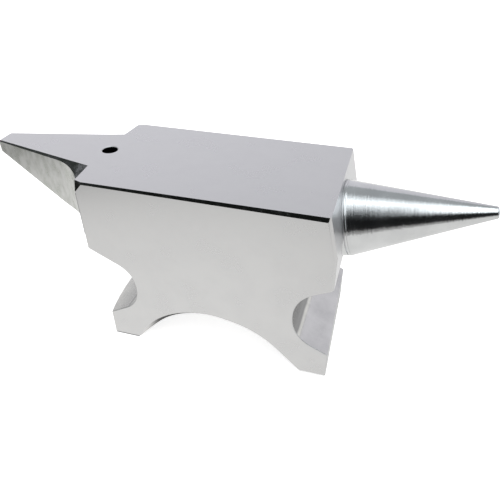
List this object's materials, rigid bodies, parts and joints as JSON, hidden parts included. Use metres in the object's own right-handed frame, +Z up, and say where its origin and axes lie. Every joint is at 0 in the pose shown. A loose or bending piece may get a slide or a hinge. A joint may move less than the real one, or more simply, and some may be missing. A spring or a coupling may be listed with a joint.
{
  "type": "bench anvil",
  "caption": "Small steel bench anvil with arched feet, a flat tapered heel with a blind pritchel hole, and a separate turned round horn let into the other end.",
  "frame": {"origin": "on the base plane, under the middle of the overall length, midway between the side faces", "axes": "+X towards the round horn, +Y across the block, +Z up from the base to the working face"},
  "size_m": [0.1588, 0.044, 0.0596],
  "materials": {
    "ground_steel": "fine ground faces, polished bevels",
    "turned_steel": "bright, with fine lathe rings",
    "stud_steel": "plain, lightly oiled"
  },
  "bodies": {
    "root": {"anvil_body": "ground_steel", "round_horn": "turned_steel", "horn_stud": "stud_steel"}
  },
  "joints": []
}
